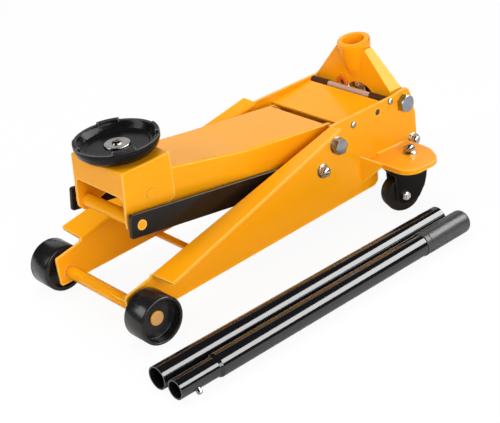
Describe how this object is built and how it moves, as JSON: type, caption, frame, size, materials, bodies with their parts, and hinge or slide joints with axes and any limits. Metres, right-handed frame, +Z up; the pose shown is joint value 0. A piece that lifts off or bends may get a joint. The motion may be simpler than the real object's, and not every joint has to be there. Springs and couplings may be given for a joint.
{
  "type": "trolley jack",
  "caption": "Low hydraulic floor jack with a linked lift arm, round saddle, folded side plates, swivel casters and a two-piece handle lying beside it.",
  "frame": {"origin": "on the ground, in the middle of the footprint of the jack and the handle sections beside it", "axes": "+Y to the rear (pump and handle end) along the longest side, +X to the side where the handle lies, +Z up"},
  "size_m": [0.454, 0.652, 0.2588],
  "materials": {
    "orange_paint": "gloss powder coat",
    "black_paint": "gloss black paint",
    "black_cast": "black painted casting",
    "black_roller": "gloss black painted roller",
    "zinc": "zinc plated, bright",
    "dark_steel": "dark phosphated steel",
    "hard_chrome": "hard chrome plated",
    "spring_steel": "spring steel",
    "brass": "machined brass",
    "grip": "matt moulded grip",
    "caster_tread": "hard black roller"
  },
  "bodies": {
    "chassis": {"side_plate_left": "orange_paint", "side_plate_right": "orange_paint", "front_axle": "orange_paint", "front_brace": "orange_paint", "top_cover": "orange_paint", "frame_screws": "zinc", "tie_rod": "dark_steel", "tie_rod_sleeve": "zinc", "spacer_tubes": "dark_steel", "lift_shaft": "zinc", "lift_shaft_nuts": "zinc", "link_bolts": "zinc", "dome_nuts": "zinc", "stay_bolt": "zinc", "yoke_bolts": "zinc", "power_block": "black_cast", "reservoir_tube": "black_paint", "ram_cylinder": "dark_steel", "cylinder_gland": "dark_steel", "cylinder_plate": "orange_paint", "block_plugs": "zinc", "pump_barrel": "dark_steel", "pump_spring": "spring_steel", "caster_studs": "zinc", "caster_stud_nuts": "zinc", "caster_races": "dark_steel"},
    "arm": {"lift_arm": "orange_paint", "arm_pivot_tube": "orange_paint", "arm_lever": "orange_paint"},
    "links": {"link_bars": "black_paint"},
    "bracket": {"saddle_bracket": "orange_paint", "saddle_boss": "orange_paint", "saddle_pin": "orange_paint", "link_shaft": "orange_paint", "link_shaft_spacers": "orange_paint"},
    "saddle": {"saddle": "black_cast", "saddle_washer": "zinc", "saddle_screw": "zinc"},
    "ram": {"ram_rod": "hard_chrome", "ram_head": "dark_steel"},
    "yoke": {"yoke_sheet": "orange_paint", "roller_lugs": "orange_paint", "handle_socket": "orange_paint", "yoke_roller": "dark_steel", "yoke_roller_pin": "dark_steel"},
    "plunger": {"pump_plunger": "hard_chrome"},
    "release_valve": {"release_knuckle": "brass"},
    "wheel_left": {"front_wheel_left": "black_roller"},
    "wheel_right": {"front_wheel_right": "black_roller"},
    "fork_left": {"caster_fork_left": "black_paint", "caster_axle_left": "zinc"},
    "fork_right": {"caster_fork_right": "black_paint", "caster_axle_right": "zinc"},
    "caster_left": {"caster_wheel_left": "caster_tread"},
    "caster_right": {"caster_wheel_right": "caster_tread"},
    "handle_lower": {"handle_lower": "black_paint"},
    "handle_upper": {"handle_upper": "black_paint", "handle_grip": "grip", "button_spring": "spring_steel"},
    "snap_button": {"snap_button": "zinc"}
  },
  "joints": [
    {"name": "arm_lift", "type": "hinge", "parent": "chassis", "child": "arm", "pos_m": [-0.05053, 0.14733, 0.14093], "axis": [-1, 0, 0], "range_deg": [-19.8, 52.8]},
    {"name": "link_swing", "type": "hinge", "parent": "chassis", "child": "links", "pos_m": [-0.05053, 0.11424, 0.11021], "axis": [-1, 0, 0], "range_deg": [-19.9, 52.9]},
    {"name": "bracket_level", "type": "hinge", "parent": "arm", "child": "bracket", "pos_m": [-0.05053, -0.18195, 0.18152], "axis": [-1, 0, 0], "range_deg": [-52.9, 19.9]},
    {"name": "saddle_turn", "type": "hinge", "parent": "bracket", "child": "saddle", "pos_m": [-0.05053, -0.18604, 0.24141], "axis": [0, -0.0349, 0.9994], "continuous": true},
    {"name": "ram_push", "type": "slide", "parent": "chassis", "child": "ram", "axis": [0, -0.9987, -0.0506], "range_m": [-0.0136, 0.0361]},
    {"name": "handle_pump", "type": "hinge", "parent": "chassis", "child": "yoke", "pos_m": [-0.05053, 0.29779, 0.15936], "axis": [-1, 0, 0], "range_deg": [0, 50], "stiffness_Nm_per_rad": 1, "springref_deg": -5.73},
    {"name": "plunger_press", "type": "slide", "parent": "chassis", "child": "plunger", "axis": [0, 0.0506, -0.9987], "range_m": [0, 0.0132], "deforming": ["pump_spring"]},
    {"name": "release_turn", "type": "hinge", "parent": "chassis", "child": "release_valve", "pos_m": [-0.05053, 0.29127, 0.16945], "axis": [0, -0.0506, 0.9987], "range_deg": [0, 180]},
    {"name": "wheel_left_roll", "type": "hinge", "parent": "chassis", "child": "wheel_left", "pos_m": [-0.16863, -0.24787, 0.036], "axis": [1, 0, 0], "continuous": true},
    {"name": "wheel_right_roll", "type": "hinge", "parent": "chassis", "child": "wheel_right", "pos_m": [0.06757, -0.24787, 0.036], "axis": [1, 0, 0], "continuous": true},
    {"name": "fork_left_swivel", "type": "hinge", "parent": "chassis", "child": "fork_left", "pos_m": [-0.17453, 0.26893, 0.08], "axis": [0, 0, 1], "continuous": true},
    {"name": "fork_right_swivel", "type": "hinge", "parent": "chassis", "child": "fork_right", "pos_m": [0.07347, 0.26893, 0.08], "axis": [0, 0, 1], "continuous": true},
    {"name": "caster_left_roll", "type": "hinge", "parent": "fork_left", "child": "caster_left", "pos_m": [-0.16771, 0.25098, 0.0305], "axis": [0.9348, 0.3551, 0], "continuous": true},
    {"name": "caster_right_roll", "type": "hinge", "parent": "fork_right", "child": "caster_right", "pos_m": [0.06665, 0.25098, 0.0305], "axis": [0.9348, -0.3551, 0], "continuous": true},
    {"name": "handle_lower_lift_off", "type": "slide", "parent": "chassis", "child": "handle_lower", "axis": [0, 0, 1], "range_m": [0, 0.15]},
    {"name": "handle_upper_lift_off", "type": "slide", "parent": "chassis", "child": "handle_upper", "axis": [0, 0, 1], "range_m": [0, 0.15]},
    {"name": "button_press", "type": "slide", "parent": "handle_upper", "child": "snap_button", "axis": [0.7657, 0.0214, -0.6428], "range_m": [-0.0072, 0], "stiffness_N_per_m": 400, "springref_m": 0.003}
  ],
  "couplings": [
    {"joint": "link_swing", "follows": "arm_lift", "ratio": 1},
    {"joint": "bracket_level", "follows": "arm_lift", "ratio": -1},
    {"joint": "ram_push", "follows": "arm_lift", "m_per_rad": 0.039},
    {"joint": "plunger_press", "follows": "handle_pump", "m_per_rad": 0.015}
  ]
}
